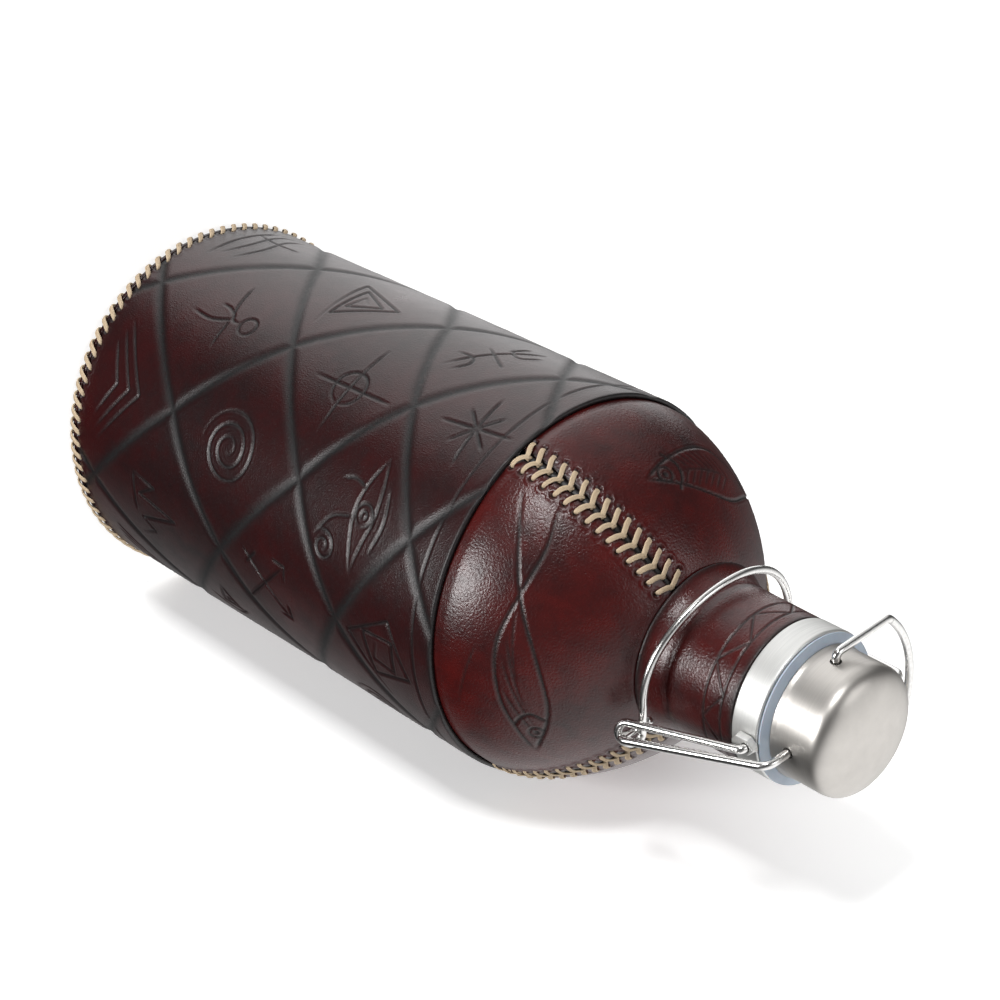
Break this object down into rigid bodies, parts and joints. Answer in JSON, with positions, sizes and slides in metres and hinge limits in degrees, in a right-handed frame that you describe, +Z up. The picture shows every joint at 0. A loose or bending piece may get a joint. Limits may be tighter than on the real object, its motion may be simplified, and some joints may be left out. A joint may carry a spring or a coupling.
{
  "type": "swing-top bottle",
  "caption": "Steel growler bottle in a laced leather jacket, closed by a domed steel cap on a wire swing-top lever with a finger loop.",
  "frame": {"origin": "centre of the base, on the surface the bottle stands on", "axes": "+Z up along the bottle's axis; the closing lever's handle faces -Y; its lugs lie on the X axis; the finger loop rests towards -X"},
  "size_m": [0.1294, 0.1294, 0.308],
  "materials": {
    "brushed_steel": "brushed",
    "wire": "polished",
    "dark_leather": "waxed, tooled, nearly black at the grooves",
    "red_leather": "waxed, soft sheen",
    "black_leather": "matt",
    "lacing": "waxed cord",
    "silicone": "satin",
    "plastic": "satin"
  },
  "bodies": {
    "bottle": {"steel_body": "brushed_steel", "steel_shoulder": "brushed_steel", "steel_neck": "brushed_steel", "steel_base": "brushed_steel", "mouth_ring": "brushed_steel", "lug_right": "brushed_steel", "lug_left": "brushed_steel", "leather_base": "dark_leather", "leather_sleeve": "dark_leather", "shoulder_panel_1": "red_leather", "seam_backing_1": "black_leather", "shoulder_lacing_1": "lacing", "shoulder_panel_2": "red_leather", "seam_backing_2": "black_leather", "shoulder_lacing_2": "lacing", "shoulder_panel_3": "red_leather", "seam_backing_3": "black_leather", "shoulder_lacing_3": "lacing", "neck_wrap": "red_leather", "neck_lacing": "lacing", "sleeve_lacing": "lacing", "base_lacing": "lacing"},
    "lever": {"lever_wire": "wire"},
    "bail": {"bail_wire": "wire"},
    "cap": {"cap_shell": "brushed_steel", "cap_core": "plastic", "gasket": "silicone", "gasket_retainer": "plastic"},
    "finger_loop": {"finger_loop": "wire"}
  },
  "joints": [
    {"name": "lever_pivot", "type": "hinge", "parent": "bottle", "child": "lever", "pos_m": [0, 0, 0.2832], "axis": [-1, 0, 0], "range_deg": [0, 100]},
    {"name": "bail_pivot", "type": "hinge", "parent": "lever", "child": "bail", "pos_m": [0, 0.0095, 0.2451], "axis": [-1, 0, 0], "range_deg": [-35, 0]},
    {"name": "cap_pivot", "type": "hinge", "parent": "bail", "child": "cap", "pos_m": [0, 0, 0.2936], "axis": [-1, 0, 0], "range_deg": [-65, 0]},
    {"name": "finger_loop_pivot", "type": "hinge", "parent": "cap", "child": "finger_loop", "pos_m": [0, 0, 0.2936], "axis": [0, 1, 0], "range_deg": [0, 180]}
  ],
  "couplings": [
    {"joint": "bail_pivot", "follows": "lever_pivot", "ratio": -0.35},
    {"joint": "cap_pivot", "follows": "lever_pivot", "ratio": -0.65}
  ]
}
